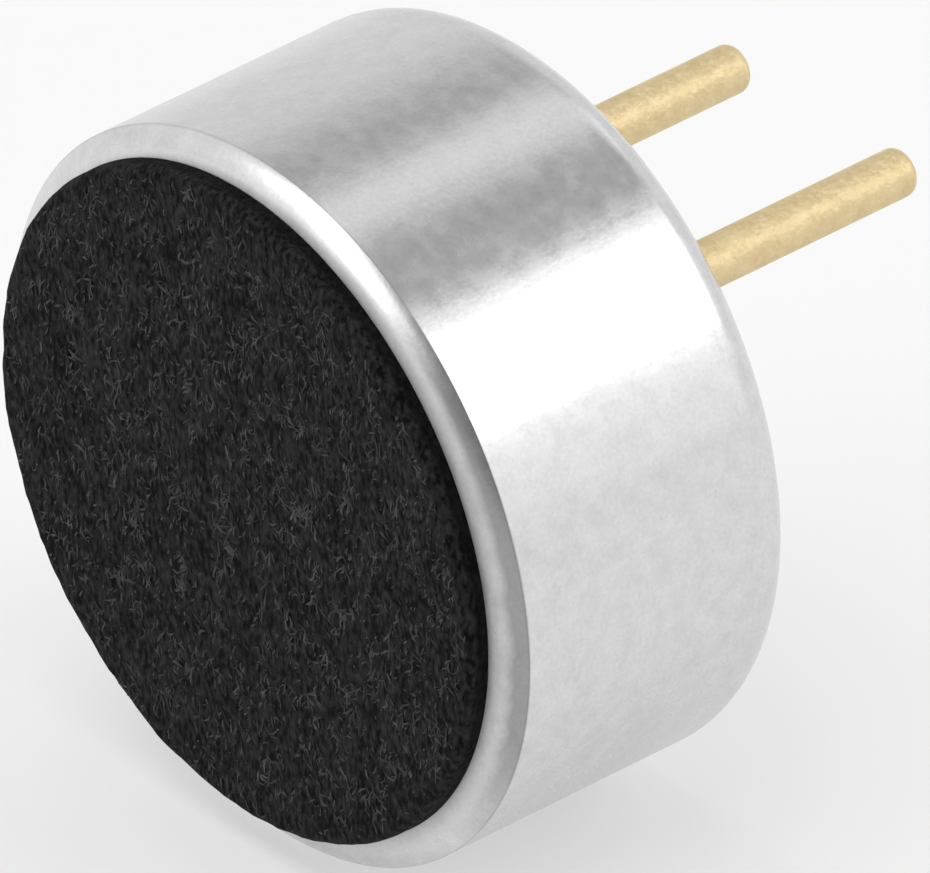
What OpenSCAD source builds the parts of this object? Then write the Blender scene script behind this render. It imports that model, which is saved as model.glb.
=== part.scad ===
// Electret microphone capsule with two pins.
// A drawn aluminium can is crimped over a stack of diaphragm, backplate, chamber and circuit board.
// Millimetres. The sound inlet faces -Y, the pins leave along +Y and the pair lies level above the axis.
// The origin is the centre of the rear seat, where the crimped rim meets the user's own board.

/* [Can] */
// Outside diameter of the can
can_d = 9.7; // [9.4:0.1:12]
// Height of the can from its rear seat to the flat of its front
can_h = 4.5; // [4.3:0.1:8]
// Thickness of the can's side and of the lip folded over the board
can_wall = 0.3; // [0.2:0.05:0.4]
// Thickness of the can's front
front_wall = 0.3; // [0.2:0.05:0.5]
// Radius inside both ends of the can
inner_bend_r = 0.1; // [0.05:0.01:0.15]
// Width of the rounded edge round the front
front_edge_w = 0.55; // [0.3:0.01:0.65]
// How far the rounded edge falls before it meets the side
front_edge_drop = 0.22; // [0.1:0.01:0.25]
// Outside radius of the crimp at the rear
crimp_r = 0.55; // [0.4:0.05:0.6]
// Reach of the folded lip, from the can's side towards its axis
lip_reach = 0.95; // [0.8:0.05:1.1]
// Radius on the free edge of the lip
lip_edge_r = 0.08; // [0.04:0.01:0.1]
// Diameter of each sound hole
sound_hole_d = 0.8; // [0.4:0.1:1.2]
// Number of sound holes on the circle, with one more in the middle
sound_hole_count = 6; // [3:1:8]
// Diameter of the circle of sound holes
sound_circle_d = 4.2; // [3.6:0.1:5]

/* [Felt] */
// Diameter of the felt disc on the front
felt_d = 8.84; // [7:0.01:9]
// Thickness of the felt
felt_t = 0.3; // [0.2:0.01:0.5]
// Sideways offset of the glued felt from the can's axis
felt_shift_x = -0.01; // [-0.2:0.01:0.2]
// Upward offset of the glued felt from the can's axis
felt_shift_up = 0.07; // [-0.2:0.01:0.2]

/* [Diaphragm and backplate] */
// Thickness of the metal ring that the diaphragm is stretched on
diaphragm_ring_t = 0.4; // [0.3:0.05:0.6]
// Width of the diaphragm ring
diaphragm_ring_w = 0.85; // [0.6:0.05:1]
// Thickness of the diaphragm film
diaphragm_t = 0.03; // [0.02:0.005:0.05]
// Thickness of the spacer between diaphragm and electret
spacer_t = 0.05; // [0.03:0.005:0.1]
// Thickness of the charged film on the backplate
electret_t = 0.03; // [0.02:0.005:0.05]
// Wall of the plastic chamber ring round the backplate
chamber_wall = 0.32; // [0.25:0.01:0.4]
// Width of the ledge in that ring under the backplate
ledge_w = 0.33; // [0.25:0.01:0.4]
// Thickness of the backplate
backplate_t = 0.4; // [0.3:0.05:0.6]
// Diameter of the air holes in the backplate
air_hole_d = 0.6; // [0.3:0.1:1]
// Number of air holes in the backplate
air_hole_count = 6; // [3:1:8]
// Diameter of the circle of air holes
air_circle_d = 4.4; // [3:0.1:5]
// Wall of the metal ring from the backplate to the circuit board
gate_ring_wall = 0.2; // [0.15:0.05:0.25]

/* [Circuit board] */
// Thickness of the bare board
board_t = 0.8; // [0.6:0.1:1.2]
// Thickness of the copper on both faces
copper_t = 0.035; // [0.018:0.001:0.07]
// Width of the rear copper ring under the folded lip
ground_ring_w = 0.8; // [0.7:0.05:0.95]
// Width of the front copper ring under the gate ring
gate_land_w = 0.35; // [0.3:0.01:0.4]
// Diameter of the copper land round each pin
land_d = 1.4; // [1.35:0.05:1.45]
// Diameter of the hole for each pin
pin_hole_d = 0.95; // [0.92:0.01:1.1]
// Width of the copper tracks
track_w = 0.3; // [0.2:0.05:0.4]

/* [Transistor] */
// Length of the moulded body, across the capsule
body_l = 2.9; // [2.5:0.1:3]
// Width of the moulded body
body_w = 1.3; // [1.1:0.1:1.4]
// Height of the moulded body
body_h = 1; // [0.8:0.05:1.1]
// Slope of the moulded sides, as an inset at the top and bottom
body_draft = 0.07; // [0.03:0.01:0.1]
// Height of the body's underside over the copper
body_standoff = 0.06; // [0.03:0.01:0.1]
// Distance across the tips of the leads
lead_span = 2.4; // [2.2:0.1:2.6]
// Distance between the paired leads
lead_pitch = 1.9; // [1.7:0.1:2]
// Width of a lead
lead_w = 0.4; // [0.3:0.05:0.5]
// Thickness of a lead
lead_t = 0.12; // [0.08:0.01:0.16]
// Length of a lead's foot on the copper
foot_l = 0.34; // [0.28:0.01:0.38]
// Distance of the transistor below the capsule's axis
transistor_drop = 0.75; // [0.6:0.05:1]

/* [Chip capacitors] */
// Length of a chip capacitor
chip_l = 1; // [0.9:0.05:1.1]
// Width of a chip capacitor
chip_w = 0.5; // [0.4:0.05:0.55]
// Height of a chip capacitor
chip_h = 0.5; // [0.4:0.05:0.6]
// Length of a capacitor's metal end
chip_end_l = 0.25; // [0.2:0.01:0.3]
// Thickness of the metal on those ends
chip_end_t = 0.03; // [0.02:0.005:0.05]
// Distance between the two capacitors
chip_pitch = 0.9; // [0.8:0.05:1]

/* [Pins] */
// Diameter of a pin
pin_d = 0.64; // [0.5:0.02:0.66]
// Distance between the pins
pin_pitch = 3.1; // [2.9:0.05:3.3]
// Height of the pair of pins over the capsule's axis
pin_rise = 1.62; // [1.5:0.01:1.7]
// Length of a pin past the rear seat
pin_l = 4.6; // [3:0.05:8]
// Radius round a pin's tip
pin_tip_r = 0.15; // [0.05:0.01:0.2]
// Length of a pin past the copper inside the capsule
pin_stub = 0.3; // [0.25:0.05:0.4]
// How much a pin's radius tapers from the board's rear to its inner end
pin_taper = 0.06; // [0.03:0.01:0.08]
// Reach of the solder fillet along the pin and over its land
fillet_leg = 0.33; // [0.25:0.01:0.36]

/* [Clearances] */
// Radial room round the pieces stacked in the can
stack_fit = 0.05; // [0.02:0.01:0.1]
// Radial room round the backplate and the gate ring in the chamber
chamber_fit = 0.03; // [0.01:0.01:0.05]

/* [Hidden] */
$fn = 96;
// How far a cut runs past the face that it opens
over = 0.1;

can_r = can_d / 2;
bore_r = can_r - can_wall;
lip_r = can_r - lip_reach;
// The seated pieces stay inside the bends at both ends of the bore
seat_r = bore_r - inner_bend_r;
stack_r = bore_r - stack_fit;

edge_start_r = can_r - front_edge_w;
edge_arc_r = (pow(front_edge_w, 2) + pow(front_edge_drop, 2)) / (2 * front_edge_drop);
edge_centre = [edge_start_r, can_h - edge_arc_r];

// Heights in the stack, from the rear seat towards the sound inlet
board_rear_z = can_wall + copper_t;
board_front_z = board_rear_z + board_t;
copper_z = board_front_z + copper_t;
front_inside_z = can_h - front_wall;
ring_z = front_inside_z - diaphragm_ring_t;
diaphragm_z = ring_z - diaphragm_t;
spacer_z = diaphragm_z - spacer_t;
electret_z = spacer_z - electret_t;
backplate_z = electret_z - backplate_t;

ring_inner_r = seat_r - diaphragm_ring_w;
backplate_r = stack_r - chamber_wall - chamber_fit;
gate_ring_r = backplate_r - ledge_w;
gate_ring_inner_r = gate_ring_r - gate_ring_wall;
gate_land_r = gate_ring_r + chamber_fit;

pin_r = pin_d / 2;
pin_hole_r = pin_hole_d / 2;
pin_end_z = copper_z + pin_stub;
pin_xs = [-pin_pitch / 2, pin_pitch / 2];
land_r = land_d / 2;
// The solder climbs this share of the pin's inner end
inner_climb = 0.6;

lead_mid_z = copper_z + body_standoff + body_h / 2;
lead_reach = lead_span / 2;
lead_hold = body_w / 4;
// A lead leaves the body level, drops at its knee and ends in a flat foot
knee_reach = lead_reach - foot_l;
pad_margin = 0.1;
solder_toe = 0.15;
chip_solder_l = 0.2;
chip_ys = [pin_rise + chip_pitch / 2, pin_rise - chip_pitch / 2];

// The pieces are drawn on their rear seat with the inlet up, then turned to face -Y
module face_forward() {
    rotate([90, 0, 0]) children();
}

// What lies outside a rounded corner of radius r whose centre is the origin
module corner_waste(r) {
    difference() {
        square(r + over);
        circle(r);
    }
}

// A flat washer from height z, or a disc where inner_r is zero
module washer(outer_r, inner_r, z, h) {
    translate([0, 0, z])
        linear_extrude(h)
            difference() {
                circle(outer_r);
                if (inner_r > 0) circle(inner_r);
            }
}

module hole_circle(count, circle_d, hole_d) {
    for (i = [0 : count - 1])
        rotate(i * 360 / count)
            translate([circle_d / 2, 0])
                circle(d = hole_d);
}

// What lies outside the arc round the front, which meets the side at a slight crease
module front_edge_waste() {
    difference() {
        translate([edge_start_r, can_h - front_edge_drop])
            square([front_edge_w + over, front_edge_drop + over]);
        translate(edge_centre) circle(edge_arc_r);
    }
}

module bore_section() {
    difference() {
        translate([0, can_wall]) square([bore_r, front_inside_z - can_wall]);
        translate([seat_r, front_inside_z - inner_bend_r]) corner_waste(inner_bend_r);
        translate([seat_r, can_wall + inner_bend_r]) mirror([0, 1]) corner_waste(inner_bend_r);
    }
}

module can_section() {
    difference() {
        square([can_r, can_h]);
        bore_section();
        translate([0, -over]) square([lip_r, can_wall + 2 * over]);
        translate([lip_r + lip_edge_r, lip_edge_r]) rotate(180) corner_waste(lip_edge_r);
        translate([can_r - crimp_r, crimp_r]) mirror([0, 1]) corner_waste(crimp_r);
        front_edge_waste();
    }
}

// Drawn cup: sound holes in its front, rear edge folded in over the circuit board
module can() {
    color("lightgray") face_forward()
        difference() {
            rotate_extrude() can_section();
            translate([0, 0, front_inside_z - over])
                linear_extrude(front_wall + 2 * over) {
                    circle(d = sound_hole_d);
                    hole_circle(sound_hole_count, sound_circle_d, sound_hole_d);
                }
        }
}

// Die-cut disc glued over the sound holes, a little off centre
module front_felt() {
    color("#2b2b2d") face_forward()
        translate([felt_shift_x, felt_shift_up, can_h])
            cylinder(d = felt_d, h = felt_t);
}

// Metal ring against the inside of the can's front
module diaphragm_ring() {
    color("gold") face_forward() washer(seat_r, ring_inner_r, ring_z, diaphragm_ring_t);
}

// Metallised film stretched on the ring
module diaphragm() {
    color("lightsteelblue") face_forward() washer(seat_r, 0, diaphragm_z, diaphragm_t);
}

// Thin washer that sets the air gap
module spacer() {
    color("orange") face_forward() washer(stack_r, ring_inner_r, spacer_z, spacer_t);
}

module air_hole_plate(z, h) {
    translate([0, 0, z])
        linear_extrude(h)
            difference() {
                circle(backplate_r);
                hole_circle(air_hole_count, air_circle_d, air_hole_d);
            }
}

// Charged film bonded to the front of the backplate
module electret_film() {
    color("white") face_forward() air_hole_plate(electret_z, electret_t);
}

// Perforated metal plate, the fixed side of the capacitor
module backplate() {
    color("goldenrod") face_forward() air_hole_plate(backplate_z, backplate_t);
}

// Plastic ring that carries the backplate on a ledge and keeps it clear of the can
module chamber_ring() {
    color("ivory") face_forward()
        difference() {
            washer(stack_r, gate_ring_r + chamber_fit, board_front_z, spacer_z - board_front_z);
            translate([0, 0, backplate_z])
                cylinder(r = backplate_r + chamber_fit, h = backplate_t + electret_t + over);
        }
}

// Metal ring from the backplate down to the gate's land on the board
module gate_ring() {
    color("peru") face_forward()
        washer(gate_ring_r, gate_ring_inner_r, copper_z, backplate_z - copper_z);
}

module pin_places() {
    for (x = pin_xs) translate([x, pin_rise]) children();
}

// Round board clamped between the chamber ring and the folded lip
module circuit_board() {
    color("seagreen") face_forward()
        translate([0, 0, board_rear_z])
            linear_extrude(board_t)
                difference() {
                    circle(seat_r);
                    pin_places() circle(pin_hole_r);
                }
}

// A straight bar of the tracks' width between two points
module track(from, to) {
    run = to - from;
    translate(from)
        rotate(atan2(run[1], run[0]))
            translate([0, -track_w / 2])
                square([norm(run), track_w]);
}

// Pads on one side of the board's front: a pin's land, two capacitor ends and one transistor lead
module front_net() {
    pin = [pin_pitch / 2, pin_rise];
    lead = [lead_pitch / 2, lead_reach - transistor_drop - foot_l / 2];
    pad_w = chip_w + pad_margin;
    difference() {
        union() {
            translate(pin) circle(land_r);
            for (y = chip_ys)
                translate([chip_l / 2 - chip_end_l, y - pad_w / 2])
                    square([pin[0] - chip_l / 2 + chip_end_l, pad_w]);
            translate(lead)
                square([lead_w + pad_margin, foot_l + 2 * solder_toe], center = true);
            track(lead, pin);
        }
        translate(pin) circle(pin_hole_r);
    }
}

module gate_net() {
    lead_y = -lead_reach - transistor_drop + foot_l / 2;
    difference() {
        circle(gate_land_r);
        circle(gate_land_r - gate_land_w);
    }
    translate([0, lead_y])
        square([lead_w + pad_margin, foot_l + 2 * solder_toe], center = true);
    track([0, lead_y], [0, gate_land_w / 2 - gate_land_r]);
}

// Copper on the board's inner face: the gate's ring and the nets of the two pins
module front_copper() {
    color("chocolate") face_forward()
        translate([0, 0, board_front_z])
            linear_extrude(copper_t) {
                front_net();
                mirror([1, 0]) front_net();
                gate_net();
            }
}

// Copper on the rear: a ring under the lip, a land for each pin, and bars from the ground pin to the ring
module rear_copper() {
    ground = [pin_xs[0], pin_rise];
    reach = seat_r - ground_ring_w / 2;
    bar_angles = [100, 140, 180];
    color("chocolate") face_forward()
        translate([0, 0, can_wall])
            linear_extrude(copper_t)
                difference() {
                    union() {
                        difference() {
                            circle(seat_r);
                            circle(seat_r - ground_ring_w);
                        }
                        pin_places() circle(land_r);
                        for (a = bar_angles)
                            track(ground, reach * [cos(a), sin(a)]);
                    }
                    pin_places() circle(pin_hole_r);
                }
}

// A section that is widest half way up, as two mould halves leave it
module moulded_section(w) {
    top = w / 2 - body_draft;
    polygon([
        [-top, 0], [top, 0], [w / 2, body_h / 2], [top, body_h], [-top, body_h], [-w / 2, body_h / 2]
    ]);
}

module moulded_block() {
    intersection() {
        rotate([90, 0, 0]) linear_extrude(body_w, center = true) moulded_section(body_l);
        rotate([90, 0, 90]) linear_extrude(body_l, center = true) moulded_section(body_w);
    }
}

// Side view of a lead that runs along +X from inside the body, with its foot on the copper
module lead_section() {
    low = copper_z;
    high = lead_mid_z + lead_t / 2;
    inside = body_w / 2 - lead_hold;
    polygon([
        [inside, high - lead_t], [knee_reach - lead_t, high - lead_t], [knee_reach - lead_t, low],
        [lead_reach, low], [lead_reach, low + lead_t], [knee_reach, low + lead_t],
        [knee_reach, high], [inside, high]
    ]);
}

module lead(x, way) {
    translate([x, -transistor_drop, 0])
        rotate(way)
            rotate([90, 0, 0])
                linear_extrude(lead_w, center = true)
                    lead_section();
}

module all_leads() {
    lead(-lead_pitch / 2, 90);
    lead(lead_pitch / 2, 90);
    lead(0, -90);
}

// Moulded body of the field-effect transistor
module transistor_body() {
    color("#202020") face_forward()
        difference() {
            translate([0, -transistor_drop, copper_z + body_standoff]) moulded_block();
            all_leads();
        }
}

// Three formed leads: drain and source towards the pins, gate towards the gate ring
module transistor_leads() {
    color("silver") face_forward() all_leads();
}

module chip_ceramic(y) {
    size = [chip_l, chip_w, chip_h] - 2 * chip_end_t * [1, 1, 1];
    translate([0, y, copper_z + chip_h / 2]) cube(size, center = true);
}

module chip_ends(y) {
    difference() {
        for (side = [-1, 1])
            translate([side * (chip_l - chip_end_l) / 2, y, copper_z + chip_h / 2])
                cube([chip_end_l, chip_w, chip_h], center = true);
        chip_ceramic(y);
    }
}

// Two ceramic chip capacitors side by side from the signal pin's land to the ground pin's
module upper_capacitor() {
    color("tan") face_forward() chip_ceramic(chip_ys[0]);
}

module upper_capacitor_ends() {
    color("silver") face_forward() chip_ends(chip_ys[0]);
}

module lower_capacitor() {
    color("tan") face_forward() chip_ceramic(chip_ys[1]);
}

module lower_capacitor_ends() {
    color("silver") face_forward() chip_ends(chip_ys[1]);
}

// A wedge of solder from a face at the origin, along +X on the copper
module solder_wedge(l, h, w) {
    rotate([90, 0, 0])
        linear_extrude(w, center = true)
            polygon([[0, 0], [l, 0], [0, h]]);
}

// Solder at the capacitors' ends and the toes of the transistor's leads
module chip_solder() {
    color("gainsboro") face_forward()
        translate([0, 0, copper_z]) {
            for (y = chip_ys, turn = [0, 180])
                translate([0, y, 0])
                    rotate(turn)
                        translate([chip_l / 2, 0, 0])
                            solder_wedge(chip_solder_l, chip_h / 2, chip_w);
            for (place = [[-lead_pitch / 2, 90], [lead_pitch / 2, 90], [0, -90]])
                translate([place[0], -transistor_drop, 0])
                    rotate(place[1])
                        translate([lead_reach, 0, 0])
                            solder_wedge(solder_toe, lead_t, lead_w);
        }
}

// Radius of a pin at height z above the rear face of its land
function pin_radius(z) = pin_r - pin_taper * (z - can_wall) / (pin_end_z - can_wall);

module pin_section() {
    difference() {
        translate([0, -pin_l]) square([pin_r, pin_l + can_wall]);
        translate([pin_r - pin_tip_r, pin_tip_r - pin_l]) mirror([0, 1]) corner_waste(pin_tip_r);
    }
    polygon([[0, can_wall], [pin_r, can_wall], [pin_radius(pin_end_z), pin_end_z], [0, pin_end_z]]);
}

// Turned pin: plain where it stands free, tapered through the board
module pin(x) {
    color("#d9cfae") face_forward()
        translate([x, pin_rise, 0])
            rotate_extrude() pin_section();
}

module signal_pin() {
    pin(pin_xs[1]);
}

module ground_pin() {
    pin(pin_xs[0]);
}

// Solder round a pin: a hollow fillet on the rear land, the filled hole, and a cone inside
module pin_solder_section() {
    top = copper_z + inner_climb * pin_stub;
    polygon([
        [pin_r, can_wall], [pin_hole_r, can_wall], [pin_hole_r, copper_z],
        [land_r - pad_margin, copper_z], [pin_radius(top), top]
    ]);
    difference() {
        translate([pin_r, can_wall - fillet_leg]) square(fillet_leg);
        translate([pin_r + fillet_leg, can_wall - fillet_leg]) circle(fillet_leg);
    }
}

module pin_solder(x) {
    color("gainsboro") face_forward()
        translate([x, pin_rise, 0])
            rotate_extrude() pin_solder_section();
}

module signal_pin_solder() {
    pin_solder(pin_xs[1]);
}

module ground_pin_solder() {
    pin_solder(pin_xs[0]);
}

can();
front_felt();
diaphragm_ring();
diaphragm();
spacer();
electret_film();
backplate();
chamber_ring();
gate_ring();
circuit_board();
front_copper();
rear_copper();
transistor_body();
transistor_leads();
upper_capacitor();
upper_capacitor_ends();
lower_capacitor();
lower_capacitor_ends();
chip_solder();
signal_pin();
ground_pin();
signal_pin_solder();
ground_pin_solder();
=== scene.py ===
"""Electret microphone capsule with a felt front and two gold-plated pins, seen on a white table."""

import math
import random

import bmesh
import bpy
from mathutils import Matrix, Vector, noise


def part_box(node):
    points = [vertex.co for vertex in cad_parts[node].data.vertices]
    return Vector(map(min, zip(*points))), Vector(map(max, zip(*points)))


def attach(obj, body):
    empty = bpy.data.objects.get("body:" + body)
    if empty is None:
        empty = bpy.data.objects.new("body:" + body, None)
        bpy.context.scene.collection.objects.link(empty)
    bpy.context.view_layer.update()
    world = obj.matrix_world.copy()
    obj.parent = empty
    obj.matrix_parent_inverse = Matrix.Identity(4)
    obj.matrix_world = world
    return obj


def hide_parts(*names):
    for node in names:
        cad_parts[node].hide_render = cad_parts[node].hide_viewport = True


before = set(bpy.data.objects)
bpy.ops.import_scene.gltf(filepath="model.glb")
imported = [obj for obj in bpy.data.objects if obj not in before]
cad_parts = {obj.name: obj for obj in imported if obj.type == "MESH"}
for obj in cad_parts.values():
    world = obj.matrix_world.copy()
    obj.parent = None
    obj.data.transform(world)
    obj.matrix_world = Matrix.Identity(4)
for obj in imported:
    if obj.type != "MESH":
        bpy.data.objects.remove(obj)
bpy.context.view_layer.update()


# CAN
# A cup of thin aluminium, deep drawn in one piece, with sound holes in its front.
# Its rear edge is folded in over the circuit board last of all, and clamps the whole stack.
MM = 0.001
can_low, can_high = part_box("can")
can_r = can_high.x
can_h = -can_low.y
can_wall = 0.3 * MM
front_edge_w = 0.55 * MM
front_edge_drop = 0.22 * MM
front_crease = 0.025 * MM
crimp_r = 0.55 * MM
lip_reach = 0.95 * MM
lip_edge_r = 0.08 * MM
inner_bend_r = 0.1 * MM
panel_r = 3.2 * MM
sound_hole_r = 0.4 * MM
sound_circle_r = 2.1 * MM
sound_hole_count = 6
CAN_STEPS = 192
HOLE_STEPS = 40


def start_profile(bm, r, y):
    """First point of a profile that is drawn beside the Y axis, r out from it."""
    return bmesh.ops.create_vert(bm, co=(r, y, 0))["vert"][0]


def line_to(bm, vert, r, y):
    """Straight stretch of a profile, from vert to a new point."""
    end = bmesh.ops.extrude_vert_indiv(bm, verts=[vert])["verts"][0]
    end.co = (r, y, 0)
    return end


def arc_about(bm, vert, r, y, degrees, steps):
    """Rounded stretch of a profile, from vert about the centre (r, y)."""
    swept = bmesh.ops.spin(
        bm, geom=[vert], cent=(r, y, 0), axis=(0, 0, 1), angle=math.radians(degrees), steps=steps
    )
    return next(g for g in swept["geom_last"] if isinstance(g, bmesh.types.BMVert))


def turn_profile(bm, steps):
    """Turns all that is drawn once round the Y axis and closes the seam and the poles."""
    bmesh.ops.spin(
        bm, geom=bm.verts[:] + bm.edges[:], cent=(0, 0, 0), axis=(0, 1, 0), angle=math.tau,
        steps=steps, use_merge=True,
    )
    bmesh.ops.remove_doubles(bm, verts=bm.verts, dist=1e-4 * MM)
    bmesh.ops.dissolve_degenerate(bm, edges=bm.edges, dist=1e-5 * MM)


def finish_piece(bm, name, material, smooth_degrees=25):
    """Makes a shown object of a finished mesh, riding on the capsule."""
    bmesh.ops.recalc_face_normals(bm, faces=bm.faces)
    mesh = bpy.data.meshes.new(name)
    bm.to_mesh(mesh)
    bm.free()
    mesh.shade_smooth()
    mesh.set_sharp_from_angle(angle=math.radians(smooth_degrees))
    mesh.materials.append(material)
    piece = bpy.data.objects.new(name, mesh)
    bpy.context.scene.collection.objects.link(piece)
    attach(piece, "root")
    return piece


class Finish:
    """A Principled material whose textures are laid out in millimetres on the piece."""

    def __init__(self, name, colour, metallic, roughness):
        self.material = bpy.data.materials.new(name)
        self.material.use_nodes = True
        self.tree = self.material.node_tree
        self.shader = self.tree.nodes["Principled BSDF"]
        self.set("Base Color", (*colour, 1))
        self.set("Metallic", metallic)
        self.set("Roughness", roughness)
        coords = self.tree.nodes.new("ShaderNodeTexCoord")
        self.vector = self.scaled(coords.outputs["Object"], (1 / MM, 1 / MM, 1 / MM))

    def set(self, socket, value):
        self.shader.inputs[socket].default_value = value

    def link(self, output, socket):
        self.tree.links.new(output, self.shader.inputs[socket])

    def scaled(self, vector, scale, turn=(0, 0, 0)):
        """The texture space stretched, and turned where a pattern runs aslant."""
        mapping = self.tree.nodes.new("ShaderNodeMapping")
        mapping.inputs["Scale"].default_value = scale
        mapping.inputs["Rotation"].default_value = turn
        self.tree.links.new(vector, mapping.inputs["Vector"])
        return mapping.outputs["Vector"]

    def cloud(self, per_mm, detail=2.0, stretch=(1, 1, 1), turn=(0, 0, 0)):
        """Noise with about per_mm features in a millimetre."""
        node = self.tree.nodes.new("ShaderNodeTexNoise")
        node.inputs["Scale"].default_value = per_mm
        node.inputs["Detail"].default_value = detail
        self.tree.links.new(self.scaled(self.vector, stretch, turn), node.inputs["Vector"])
        return node.outputs["Fac"]

    def pits(self, per_mm, size):
        """Scattered round spots: 0 in a spot and 1 away from it."""
        node = self.tree.nodes.new("ShaderNodeTexVoronoi")
        node.inputs["Scale"].default_value = per_mm
        self.tree.links.new(self.vector, node.inputs["Vector"])
        return self.spread(node.outputs["Distance"], 0, 1, size * 0.4, size)

    def spread(self, value, low, high, value_low=0.3, value_high=0.7):
        """Maps a texture's usual range to low ... high."""
        node = self.tree.nodes.new("ShaderNodeMapRange")
        node.inputs["From Min"].default_value = value_low
        node.inputs["From Max"].default_value = value_high
        node.inputs["To Min"].default_value = low
        node.inputs["To Max"].default_value = high
        self.tree.links.new(value, node.inputs["Value"])
        return node.outputs["Result"]

    def sum(self, *values):
        """Adds textures together."""
        total = values[0]
        for value in values[1:]:
            node = self.tree.nodes.new("ShaderNodeMath")
            self.tree.links.new(total, node.inputs[0])
            self.tree.links.new(value, node.inputs[1])
            total = node.outputs["Value"]
        return total

    def tint(self, value, dark, light):
        """Base colour that runs from dark to light with a texture of 0 to 1."""
        node = self.tree.nodes.new("ShaderNodeMix")
        node.data_type = "RGBA"
        node.inputs["A"].default_value = (*dark, 1)
        node.inputs["B"].default_value = (*light, 1)
        self.tree.links.new(value, node.inputs["Factor"])
        self.link(node.outputs["Result"], "Base Color")

    def product(self, first, second):
        """One texture held back by another."""
        node = self.tree.nodes.new("ShaderNodeMath")
        node.operation = "MULTIPLY"
        self.tree.links.new(first, node.inputs[0])
        self.tree.links.new(second, node.inputs[1])
        return node.outputs["Value"]

    def part(self, axis, turn=(0, 0, 0)):
        """One coordinate of the piece in millimetres, along an axis that may be turned."""
        node = self.tree.nodes.new("ShaderNodeSeparateXYZ")
        self.tree.links.new(self.scaled(self.vector, (1, 1, 1), turn), node.inputs["Vector"])
        return node.outputs[axis]

    def shade(self, value, factor):
        """Darkens the base colour by a factor where a texture is 1."""
        node = self.tree.nodes.new("ShaderNodeMix")
        node.data_type = "RGBA"
        node.blend_type = "MULTIPLY"
        node.inputs["B"].default_value = (factor, factor, factor, 1)
        self.tree.links.new(self.shader.inputs["Base Color"].links[0].from_socket, node.inputs["A"])
        self.tree.links.new(value, node.inputs["Factor"])
        self.link(node.outputs["Result"], "Base Color")

    def relief(self, height, depth):
        """Bump, with a height of 0 to 1 standing for a depth in metres."""
        node = self.tree.nodes.new("ShaderNodeBump")
        node.inputs["Distance"].default_value = depth
        self.tree.links.new(height, node.inputs["Height"])
        self.link(node.outputs["Normal"], "Normal")


bore_r = can_r - can_wall
lip_r = can_r - lip_reach
front_y = -can_h
front_inside_y = front_y + can_wall
edge_arc_r = (front_edge_w**2 + front_edge_drop**2) / (2 * front_edge_drop)
edge_degrees = math.degrees(math.asin(front_edge_w / edge_arc_r))

bm = bmesh.new()
v = start_profile(bm, panel_r, front_y)
v = line_to(bm, v, can_r - front_edge_w, front_y)
v = arc_about(bm, v, can_r - front_edge_w, front_y + edge_arc_r, edge_degrees, 14)
v = line_to(bm, v, can_r, front_y + front_edge_drop + front_crease)
v = line_to(bm, v, can_r, -crimp_r)
v = arc_about(bm, v, can_r - crimp_r, -crimp_r, 90, 18)
v = line_to(bm, v, lip_r + lip_edge_r, 0)
v = arc_about(bm, v, lip_r + lip_edge_r, -lip_edge_r, 90, 6)
v = line_to(bm, v, lip_r, -can_wall)
v = line_to(bm, v, bore_r - inner_bend_r, -can_wall)
v = arc_about(bm, v, bore_r - inner_bend_r, -can_wall - inner_bend_r, -90, 4)
v = line_to(bm, v, bore_r, front_inside_y + inner_bend_r)
v = arc_about(bm, v, bore_r - inner_bend_r, front_inside_y + inner_bend_r, -90, 4)
v = line_to(bm, v, panel_r, front_inside_y)
turn_profile(bm, CAN_STEPS)

FACE_FRONT = Matrix.Rotation(math.radians(90), 4, "X")
rim_edges = [e for e in bm.edges if e.is_boundary]
hole_places = [(0, 0)] + [
    (sound_circle_r * math.cos(a), sound_circle_r * math.sin(a))
    for a in (i * math.tau / sound_hole_count for i in range(sound_hole_count))
]
hole_edges = []
for x, z in hole_places:
    ring = bmesh.ops.create_circle(
        bm, segments=HOLE_STEPS, radius=sound_hole_r,
        matrix=Matrix.Translation((x, front_y, z)) @ FACE_FRONT,
    )["verts"]
    outer = list({e for vert in ring for e in vert.link_edges})
    pulled = bmesh.ops.extrude_edge_only(bm, edges=outer)["geom"]
    bmesh.ops.translate(
        bm, vec=(0, can_wall, 0), verts=[g for g in pulled if isinstance(g, bmesh.types.BMVert)]
    )
    hole_edges += outer + [g for g in pulled if isinstance(g, bmesh.types.BMEdge)]
for y in (front_y, front_inside_y):
    flat = [e for e in rim_edges + hole_edges if all(abs(q.co.y - y) < 1e-3 * MM for q in e.verts)]
    bmesh.ops.triangle_fill(bm, edges=flat, use_beauty=True)

aluminium = Finish("can_aluminium", (0.69, 0.69, 0.70), 1.0, 0.26)
drawn = aluminium.cloud(7, 1, stretch=(1, 0.1, 1))
mottle = aluminium.cloud(3.5, 1)
frost = aluminium.cloud(18, 2)
pitted = aluminium.pits(1.4, 0.04)
along_axis = aluminium.part("Y")
rim_mm = front_y / MM
edge_mm = (front_y + front_edge_drop) / MM
cloudy_axis = aluminium.sum(along_axis, aluminium.spread(mottle, -0.015, 0.015))
# Painted shade: the outer band of the rim, between its flat front and the front edge, is darkened
# on the can's right side to stand in for a dark reflection there.
shaded_rim_band = aluminium.sum(
    aluminium.spread(cloudy_axis, 0, 1, rim_mm + 0.015, rim_mm + 0.11),
    aluminium.spread(along_axis, 0, -1, edge_mm - 0.005, edge_mm + 0.005),
)
shaded_rim_turn = math.radians(14)
shaded_rim_side = aluminium.spread(aluminium.part("X", (0, shaded_rim_turn, 0)), 0, 1, 2.6, 4.2)
# Painted shade: a thin dark line where the rounded front edge meets the side, darkened to 0.8.
painted_crease_shade = aluminium.sum(
    aluminium.spread(along_axis, 0, 1, edge_mm - 0.02, edge_mm),
    aluminium.spread(along_axis, 0, -1, edge_mm + 0.005, edge_mm + 0.025),
)
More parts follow.
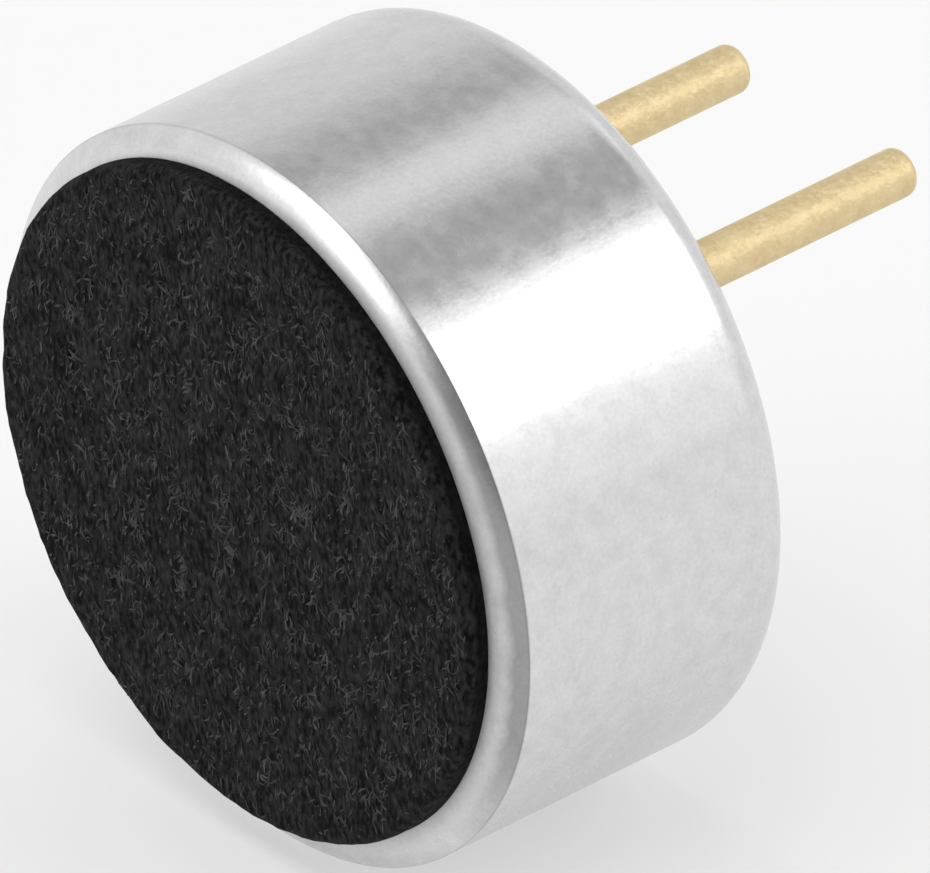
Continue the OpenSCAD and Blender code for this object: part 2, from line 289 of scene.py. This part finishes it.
aluminium.tint(
    aluminium.spread(aluminium.sum(mottle, frost), 0, 1, 0.5, 1.5),
    (0.62, 0.62, 0.63), (0.76, 0.76, 0.765),
)
# Painted shade: the rim's outer band goes to half its colour on the right side.
aluminium.shade(aluminium.product(shaded_rim_band, shaded_rim_side), 0.5)
aluminium.shade(painted_crease_shade, 0.8)
aluminium.shade(aluminium.spread(pitted, 1, 0, 0, 1), 0.88)
worn_rim = aluminium.spread(along_axis, 0.4, 0, rim_mm + 0.022, rim_mm + 0.065)
satin = aluminium.spread(mottle, 0.22, 0.31, 0.1, 0.9)
aluminium.link(aluminium.sum(satin, worn_rim), "Roughness")
aluminium.relief(
    aluminium.sum(
        aluminium.spread(mottle, 0, 0.25, 0.1, 0.9), aluminium.spread(drawn, 0, 0.35, 0.1, 0.9),
        aluminium.spread(frost, 0, 0.22, 0.1, 0.9), aluminium.spread(pitted, 0, 0.1, 0, 1),
    ),
    0.003 * MM,
)
can = finish_piece(bm, "can_shell", aluminium.material, 16)
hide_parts("can")


# DIAPHRAGM RING, BACKPLATE AND GATE RING
# Stamped from brass strip. The first sits against the inside of the can's front,
# and the other two carry the signal from the charged film to the circuit board.
def dress(node_name, material):
    """Gives a piece that stays as it was packed its finish."""
    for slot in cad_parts[node_name].material_slots:
        slot.material = material


brass = Finish("ring_brass", (0.72, 0.53, 0.24), 1.0, 0.3)
rolled = brass.cloud(3, 4, stretch=(0.08, 1, 1))
brass.tint(brass.spread(brass.cloud(1.5, 3), 0, 1), (0.62, 0.43, 0.18), (0.76, 0.57, 0.27))
brass.link(brass.spread(rolled, 0.22, 0.4), "Roughness")
brass.relief(rolled, 0.003 * MM)
for name in ("diaphragm_ring", "backplate", "gate_ring"):
    dress(name, brass.material)


# DIAPHRAGM
# Polyester film a few micrometres thick, with metal evaporated on it.
# It is stretched and glued on its ring, and sound moves it.
film = Finish("diaphragm_film", (0.62, 0.64, 0.66), 0.9, 0.16)
ripple = film.cloud(0.6, 2)
film.tint(film.spread(ripple, 0, 1), (0.57, 0.59, 0.62), (0.66, 0.68, 0.70))
film.link(film.spread(film.cloud(12, 2), 0.12, 0.2), "Roughness")
film.relief(ripple, 0.01 * MM)
dress("diaphragm", film.material)


# SPACER
# Washer punched from thin amber film.
# It is clamped between the diaphragm and the charged film, and sets the air gap.
amber = Finish("spacer_film", (0.78, 0.72, 0.55), 0.0, 0.3)
amber.tint(amber.spread(amber.cloud(2, 3), 0, 1), (0.72, 0.64, 0.45), (0.82, 0.76, 0.60))
amber.relief(amber.cloud(20, 2), 0.002 * MM)
dress("spacer", amber.material)


# ELECTRET FILM
# Fluoropolymer film that was charged once and keeps its charge.
# It is bonded to the front of the backplate, with the same holes.
charged = Finish("electret", (0.80, 0.80, 0.78), 0.0, 0.25)
charged.tint(charged.spread(charged.cloud(1.2, 3), 0, 1), (0.74, 0.74, 0.72), (0.84, 0.84, 0.82))
charged.relief(charged.cloud(15, 2), 0.002 * MM)
dress("electret_film", charged.material)


# CHAMBER RING
# Ring moulded from natural plastic that fills the can's bore.
# The backplate sits on its ledge, clear of the can.
natural = Finish("chamber_plastic", (0.80, 0.76, 0.66), 0.0, 0.5)
natural.tint(natural.spread(natural.cloud(0.8, 3), 0, 1), (0.74, 0.69, 0.58), (0.83, 0.79, 0.70))
natural.link(natural.spread(natural.cloud(14, 2), 0.42, 0.58), "Roughness")
natural.relief(natural.cloud(25, 2), 0.003 * MM)
dress("chamber_ring", natural.material)


# CIRCUIT BOARD
# Round blank of glass cloth and epoxy under green solder mask, with two holes for the pins.
# It closes the can at the rear and is clamped by the folded lip.
laminate = Finish("board_laminate", (0.02, 0.13, 0.06), 0.0, 0.35)
weave_x = laminate.cloud(3.2, 1, stretch=(1, 1, 0.1))
weave_z = laminate.cloud(3.2, 1, stretch=(0.1, 1, 1))
cloth = laminate.sum(laminate.spread(weave_x, 0, 0.5), laminate.spread(weave_z, 0, 0.5))
laminate.tint(laminate.spread(cloth, 0, 1, 0, 1), (0.012, 0.095, 0.04), (0.03, 0.17, 0.08))
laminate.set("Coat Weight", 0.4)
laminate.set("Coat Roughness", 0.12)
laminate.relief(cloth, 0.004 * MM)
dress("circuit_board", laminate.material)


# COPPER
# Foil etched to lands and tracks on both faces of the board.
# It is tinned where the mask leaves it open, and its rear ring meets the can's lip.
tinned = Finish("tinned_copper", (0.70, 0.62, 0.48), 1.0, 0.34)
dipped = tinned.cloud(4, 4)
tinned.tint(tinned.spread(dipped, 0, 1), (0.60, 0.53, 0.42), (0.74, 0.69, 0.58))
tinned.link(tinned.spread(tinned.cloud(11, 3), 0.24, 0.42), "Roughness")
tinned.relief(dipped, 0.008 * MM)
for name in ("front_copper", "rear_copper"):
    dress(name, tinned.material)


# TRANSISTOR
# Field-effect transistor with a body moulded from black epoxy.
# Its three bent leads are tinned, and soldered to their pads inside the capsule.
epoxy = Finish("transistor_epoxy", (0.03, 0.03, 0.03), 0.0, 0.55)
epoxy.tint(epoxy.spread(epoxy.cloud(2, 3), 0, 1), (0.022, 0.022, 0.023), (0.04, 0.04, 0.041))
epoxy.link(epoxy.spread(epoxy.cloud(16, 2), 0.45, 0.65), "Roughness")
epoxy.relief(epoxy.cloud(30, 2), 0.004 * MM)
dress("transistor_body", epoxy.material)

lead = Finish("tinned_lead", (0.68, 0.68, 0.67), 1.0, 0.4)
lead.tint(lead.spread(lead.cloud(5, 3), 0, 1), (0.60, 0.60, 0.60), (0.73, 0.73, 0.72))
lead.link(lead.spread(lead.cloud(18, 2), 0.32, 0.48), "Roughness")
lead.relief(lead.cloud(22, 2), 0.002 * MM)
dress("transistor_leads", lead.material)


# CHIP CAPACITORS
# Two blocks of fired ceramic with tinned metal ends.
# They are soldered across the two pins' lands, inside the capsule.
ceramic = Finish("chip_ceramic", (0.50, 0.38, 0.25), 0.0, 0.6)
ceramic.tint(ceramic.spread(ceramic.cloud(6, 3), 0, 1), (0.43, 0.31, 0.19), (0.55, 0.43, 0.30))
ceramic.relief(ceramic.cloud(40, 2), 0.003 * MM)
for name in ("upper_capacitor", "lower_capacitor"):
    dress(name, ceramic.material)
    dress(name + "_ends", lead.material)


# PINS
# Two turned pins with pale gold plate over a grainy base metal and rounded tips.
# They stand out of the rear, level with each other, for the holes of a circuit board.
pin_r = 0.32 * MM
pin_tip_r = 0.15 * MM
pin_tip_dome = 0.02 * MM
pin_taper = 0.06 * MM
PIN_STEPS = 48

gold = Finish("pin_gold", (0.78, 0.63, 0.36), 1.0, 0.55)
plate = gold.cloud(5, 4)
grain = gold.cloud(16, 3)
gold.tint(
    gold.spread(gold.sum(plate, grain), 0, 1, 0.7, 1.3), (0.71, 0.56, 0.31), (0.84, 0.70, 0.43)
)
gold.link(gold.spread(grain, 0.46, 0.60), "Roughness")
gold.relief(
    gold.sum(gold.spread(plate, 0, 1.2, 0.1, 0.9), gold.spread(grain, 0, 1.0, 0.1, 0.9)), 0.012 * MM
)


def pin_place(node_name):
    """Axis point of a pin, and the heights of its inner end and its tip."""
    low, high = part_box(node_name)
    return Vector(((low.x + high.x) / 2, 0, (low.z + high.z) / 2)), low.y, high.y


for name in ("signal_pin", "ground_pin"):
    place, inner_y, tip_y = pin_place(name)
    bm = bmesh.new()
    v = start_profile(bm, 0, inner_y)
    v = line_to(bm, v, pin_r - pin_taper, inner_y)
    v = line_to(bm, v, pin_r, -can_wall)
    v = line_to(bm, v, pin_r, tip_y - pin_tip_dome - pin_tip_r)
    v = arc_about(bm, v, pin_r - pin_tip_r, tip_y - pin_tip_dome - pin_tip_r, 80, 8)
    v = line_to(bm, v, 0, tip_y)
    turn_profile(bm, PIN_STEPS)
    bmesh.ops.translate(bm, vec=place, verts=bm.verts)
    pin = finish_piece(bm, name + "_plated", gold.material, 30)
    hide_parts(name)


# SOLDER
# Tin solder, drawn up each pin in a hollow fillet on the rear land, through the hole,
# and in a low cone inside. Small wedges of it hold the chips and the transistor's leads.
fillet_leg = 0.33 * MM
pin_hole_r = 0.475 * MM
inner_cone_r = 0.6 * MM
SOLDER_STEPS = 64

solder = Finish("pin_solder", (0.66, 0.66, 0.66), 1.0, 0.22)
frozen = solder.cloud(4, 4)
solder.tint(solder.spread(frozen, 0, 1), (0.60, 0.60, 0.60), (0.74, 0.74, 0.73))
solder.link(solder.spread(solder.cloud(12, 3), 0.14, 0.32), "Roughness")
solder.relief(frozen, 0.01 * MM)
dress("chip_solder", solder.material)

cone_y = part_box("front_copper")[0].y
for name in ("signal_pin", "ground_pin"):
    place = pin_place(name)[0]
    cone_tip_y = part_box(name + "_solder")[0].y
    bm = bmesh.new()
    first = start_profile(bm, pin_r, -can_wall + fillet_leg)
    v = arc_about(bm, first, pin_r + fillet_leg, -can_wall + fillet_leg, 90, 12)
    v = line_to(bm, v, pin_hole_r, -can_wall)
    v = line_to(bm, v, pin_hole_r, cone_y)
    v = line_to(bm, v, inner_cone_r, cone_y)
    v = line_to(bm, v, pin_r - pin_taper, cone_tip_y)
    v = line_to(bm, v, pin_r, -can_wall)
    bm.edges.new((v, first))
    turn_profile(bm, SOLDER_STEPS)
    bmesh.ops.translate(bm, vec=place, verts=bm.verts)
    joint = finish_piece(bm, name + "_joint", solder.material, 30)
    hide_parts(name + "_solder")


# FELT
# Disc punched from black non-woven felt and glued over the sound holes, a little off centre.
# Its cut edge is soft and not quite round. The fibres lie mostly up and down, and their worn
# tops catch the light in grey flecks.
felt_low, felt_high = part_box("front_felt")
felt_lean = Vector((-0.05, 0, -0.03)) * MM
felt_place = Vector(((felt_low.x + felt_high.x) / 2, 0, (felt_low.z + felt_high.z) / 2)) + felt_lean
felt_r = (felt_high.x - felt_low.x) / 2
felt_oval = 1.007
felt_loft = 0.02 * MM
felt_top = felt_low.y - felt_loft
felt_back = felt_high.y
felt_edge_r = 0.12 * MM
felt_lump = 0.025 * MM
lumps_per_mm = 2.5
felt_fray = 0.02 * MM
frays_per_mm = 4
felt_flat = 0.045 * MM
felt_flat_turn = math.radians(50)
FELT_RINGS = 46
WALL_RINGS = 4
FELT_STEPS = 240


def felt_share(x, z):
    """Share of the felt's radius that its cut leaves towards a place, less at the upper right."""
    return 1 - felt_flat / felt_r * max(0, math.cos(math.atan2(z, x) - felt_flat_turn)) ** 1.5


pile = Finish("felt", (0.015, 0.015, 0.015), 0.0, 0.95)
tangle = pile.cloud(15, 3, stretch=(1, 1, 0.5))
matted = pile.cloud(3, 3, stretch=(1, 1, 0.6))
patchy = pile.sum(pile.spread(tangle, 0, 0.75), pile.spread(matted, 0, 0.25))
pile.tint(
    pile.spread(patchy, 0, 1, 0.25, 0.9), (0.0005, 0.0005, 0.0005), (0.029, 0.029, 0.030)
)
felt_top_mm = felt_top / MM
# Painted shade: the felt's side wall is darkened, starting 0.1 mm behind its face and reaching 0.3
# at 0.2 mm, to stand in for the shadow on it.
pile.shade(pile.spread(pile.part("Y"), 0, 1, felt_top_mm + 0.1, felt_top_mm + 0.2), 0.3)
pile.set("Specular IOR Level", 0.15)
pile.relief(tangle, 0.05 * MM)

bm = bmesh.new()
v = start_profile(bm, 0, felt_top)
for i in range(1, FELT_RINGS + 1):
    v = line_to(bm, v, (felt_r - felt_edge_r) * i / FELT_RINGS, felt_top)
v = arc_about(bm, v, felt_r - felt_edge_r, felt_top + felt_edge_r, 90, 6)
wall_h = felt_back - felt_top - felt_edge_r
for i in range(1, WALL_RINGS + 1):
    v = line_to(bm, v, felt_r, felt_back - wall_h * (1 - i / WALL_RINGS))
v = line_to(bm, v, 0, felt_back)
turn_profile(bm, FELT_STEPS)
for vert in bm.verts:
    if vert.co.y > felt_back - 0.01 * MM:
        continue
    lump = noise.fractal(vert.co / MM * lumps_per_mm, 1, 2, 3)
    vert.co.y += felt_lump * (lump + 0.5)
    out = Vector((vert.co.x, 0, vert.co.z))
    if out.length > felt_r - felt_edge_r:
        fray = abs(noise.noise(vert.co / MM * frays_per_mm))
        vert.co -= out.normalized() * felt_fray * fray
for vert in bm.verts:
    share = felt_share(vert.co.x, vert.co.z)
    vert.co = (vert.co.x * share, vert.co.y, vert.co.z * share)
bmesh.ops.scale(bm, vec=(1, 1, felt_oval), verts=bm.verts)
bmesh.ops.translate(bm, vec=felt_place, verts=bm.verts)
felt = finish_piece(bm, "felt_disc", pile.material, 60)
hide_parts("front_felt")


def felt_height(place):
    """How far the felt's face lies behind its top at a place on its rounded edge."""
    x, z = place.x - felt_place.x, (place.z - felt_place.z) / felt_oval
    past = math.hypot(x, z) / felt_share(x, z) - (felt_r - felt_edge_r)
    return felt_edge_r - math.sqrt(felt_edge_r**2 - past**2) if past > 0 else 0


FIBRE_COUNT = 8000
fibre_r = 0.017 * MM
fibre_sink = 0.028 * MM
fibre_margin = 0.04 * MM
rng = random.Random(97)
strands = bpy.data.curves.new("felt_strands", "CURVE")
strands.dimensions = "3D"
strands.bevel_depth = fibre_r
strands.bevel_resolution = 0
strands.use_fill_caps = True
for _ in range(FIBRE_COUNT):
    length = rng.triangular(0.08, 0.36, 0.14) * MM
    bow = rng.uniform(-0.2, 0.2) * length
    rise = rng.uniform(-0.005, 0.02) * MM
    girth = rng.triangular(0.5, 1.5, 0.8)
    lean = rng.gauss(0, 0.5) if rng.random() < 0.75 else rng.uniform(-1.6, 1.6)
    along = Vector((math.sin(lean), 0, math.cos(lean)))
    across = Vector((math.cos(lean), 0, -math.sin(lean)))
    reach = (felt_r - fibre_margin - length / 2) * math.sqrt(rng.random())
    round_it = rng.uniform(0, math.tau)
    x, z = reach * math.cos(round_it), reach * math.sin(round_it)
    share = felt_share(x, z)
    middle = felt_place + Vector((x * share, felt_top, z * share * felt_oval))
    spline = strands.splines.new("POLY")
    spline.points.add(2)
    for point, s in zip(spline.points, (-1, 0, 1)):
        place = middle + along * (s * length / 2) + across * (bow * s * s)
        place.y += felt_height(place) + fibre_sink - rise * (1 - s * s)
        point.co = (*place, 1)
        point.radius = girth * (1 - 0.5 * abs(s))
strand_holder = bpy.data.objects.new("felt_strands", strands)
bpy.context.scene.collection.objects.link(strand_holder)
bpy.context.view_layer.update()
fibre_mesh = bpy.data.meshes.new_from_object(
    strand_holder.evaluated_get(bpy.context.evaluated_depsgraph_get())
)
bpy.data.objects.remove(strand_holder)

fibre = Finish("felt_fibre", (0.05, 0.05, 0.052), 0.0, 0.6)
worn = fibre.cloud(6, 4, stretch=(1, 1, 0.7))
fibre.tint(fibre.spread(worn, 0, 1, 0.42, 0.75), (0.004, 0.004, 0.004), (0.070, 0.070, 0.071))
fibre.relief(fibre.cloud(60, 1), 0.002 * MM)
bm = bmesh.new()
bm.from_mesh(fibre_mesh)
bpy.data.meshes.remove(fibre_mesh)
fibres = finish_piece(bm, "felt_fibres", fibre.material, 80)


# TABLE, STUDIO AND CAMERA
# The capsule lies on its side on a white table, between a pale wall all round and a dim ceiling.
# A softbox and a strip lamp behind it draw the two light bands along the can.
table_half = 0.6
table_glow = 0.42
bm = bmesh.new()
bmesh.ops.create_grid(
    bm, x_segments=1, y_segments=1, size=table_half, matrix=Matrix.Translation((0, 0, can_low.z))
)
table_mesh = bpy.data.meshes.new("table")
bm.to_mesh(table_mesh)
bm.free()
table = bpy.data.objects.new("table", table_mesh)
bpy.context.scene.collection.objects.link(table)

white = bpy.data.materials.new("table_white")
white.use_nodes = True
nodes, links = white.node_tree.nodes, white.node_tree.links
paint = nodes["Principled BSDF"]
paint.inputs["Base Color"].default_value = (0.85, 0.85, 0.85, 1)
paint.inputs["Roughness"].default_value = 0.9
glow = nodes.new("ShaderNodeEmission")
ray = nodes.new("ShaderNodeLightPath")
seen = nodes.new("ShaderNodeMath")
seen.operation = "MAXIMUM"
seen_through = nodes.new("ShaderNodeMath")
seen_through.operation = "MAXIMUM"
share = nodes.new("ShaderNodeMath")
share.operation = "MULTIPLY"
share.inputs[1].default_value = table_glow
blend = nodes.new("ShaderNodeMixShader")
links.new(ray.outputs["Is Camera Ray"], seen.inputs[0])
links.new(ray.outputs["Is Glossy Ray"], seen.inputs[1])
links.new(seen.outputs["Value"], seen_through.inputs[0])
links.new(ray.outputs["Is Transmission Ray"], seen_through.inputs[1])
links.new(seen_through.outputs["Value"], share.inputs[0])
links.new(share.outputs["Value"], blend.inputs["Fac"])
links.new(paint.outputs["BSDF"], blend.inputs[1])
links.new(glow.outputs["Emission"], blend.inputs[2])
links.new(blend.outputs["Shader"], nodes["Material Output"].inputs["Surface"])
table_mesh.materials.append(white)

world = bpy.data.worlds.new("studio")
world.use_nodes = True
bpy.context.scene.world = world
nodes, links = world.node_tree.nodes, world.node_tree.links
direction = nodes.new("ShaderNodeTexCoord")
part = nodes.new("ShaderNodeSeparateXYZ")
wall = nodes.new("ShaderNodeValToRGB")
wall.color_ramp.elements[0].position = 0.40
wall.color_ramp.elements[0].color = (1, 1, 1, 1)
wall.color_ramp.elements[1].position = 0.66
wall.color_ramp.elements[1].color = (0.45, 0.45, 0.45, 1)
towards_room = nodes.new("ShaderNodeVectorMath")
towards_room.operation = "DOT_PRODUCT"
towards_room.inputs[1].default_value = (0.75, -0.66, 0)
across_room = nodes.new("ShaderNodeMapRange")
across_room.inputs["From Min"].default_value = -1
depth = nodes.new("ShaderNodeValToRGB")
depth.color_ramp.elements[0].color = (0.85, 0.85, 0.85, 1)
depth.color_ramp.elements[1].position = 0.97
depth.color_ramp.elements[1].color = (0.35, 0.35, 0.35, 1)
depth.color_ramp.elements.new(0.50).color = (0.97, 0.97, 0.97, 1)
depth.color_ramp.elements.new(0.62).color = (1.2, 1.2, 1.2, 1)
links.new(direction.outputs["Generated"], part.inputs["Vector"])
links.new(direction.outputs["Generated"], towards_room.inputs[0])
links.new(part.outputs["Z"], wall.inputs["Fac"])
links.new(towards_room.outputs["Value"], across_room.inputs["Value"])
links.new(across_room.outputs["Result"], depth.inputs["Fac"])
links.new(wall.outputs["Color"], nodes["Background"].inputs["Color"])
links.new(depth.outputs["Color"], nodes["Background"].inputs["Strength"])


def add_lamp(name, round_axis, back, distance, width, length, radiance):
    """Rectangular soft lamp over the capsule, with its length along the capsule's axis. Its place
    is a turn round that axis from +X up, in degrees, and how far back it stands, from -1 to 1."""
    light = bpy.data.lights.new(name, "AREA")
    light.shape = "RECTANGLE"
    light.size, light.size_y = width, length
    light.energy = radiance * 4 * width * length
    lamp = bpy.data.objects.new(name, light)
    lamp.matrix_world = (
        Matrix.Rotation(math.radians(90 - round_axis), 4, "Y")
        @ Matrix.Rotation(-math.asin(back), 4, "X")
        @ Matrix.Translation((0, 0, distance))
    )
    lamp.visible_camera = False
    bpy.context.scene.collection.objects.link(lamp)


add_lamp("softbox", 48, 0.53, 0.12, 0.062, 0.10, 1.2)
add_lamp("strip", 106.5, 0.53, 0.12, 0.034, 0.12, 0.5)
add_lamp("front", 130, -0.88, 0.25, 0.13, 0.15, 1.2)
add_lamp("top", 95, -0.2, 0.25, 0.30, 0.16, 1.5)

camera = bpy.data.cameras.new("camera")
camera.lens = 1500
camera.sensor_width = 36
camera.clip_start = 0.1
camera.clip_end = 2
view_azimuth, view_elevation, view_roll = (math.radians(d) for d in (50.13, 33.61, -1.09))
view_distance = 471.1 * MM
aim = Vector((-0.2227, -0.9921, -0.6998)) * MM
turned = (
    Matrix.Rotation(view_azimuth, 4, "Z")
    @ Matrix.Rotation(math.pi / 2 - view_elevation, 4, "X")
    @ Matrix.Rotation(view_roll, 4, "Z")
)
eye = bpy.data.objects.new("camera", camera)
eye.matrix_world = Matrix.Translation(aim) @ turned @ Matrix.Translation((0, 0, view_distance))
bpy.context.scene.collection.objects.link(eye)
bpy.context.scene.camera = eye
bpy.context.scene.view_settings.view_transform = "Standard"
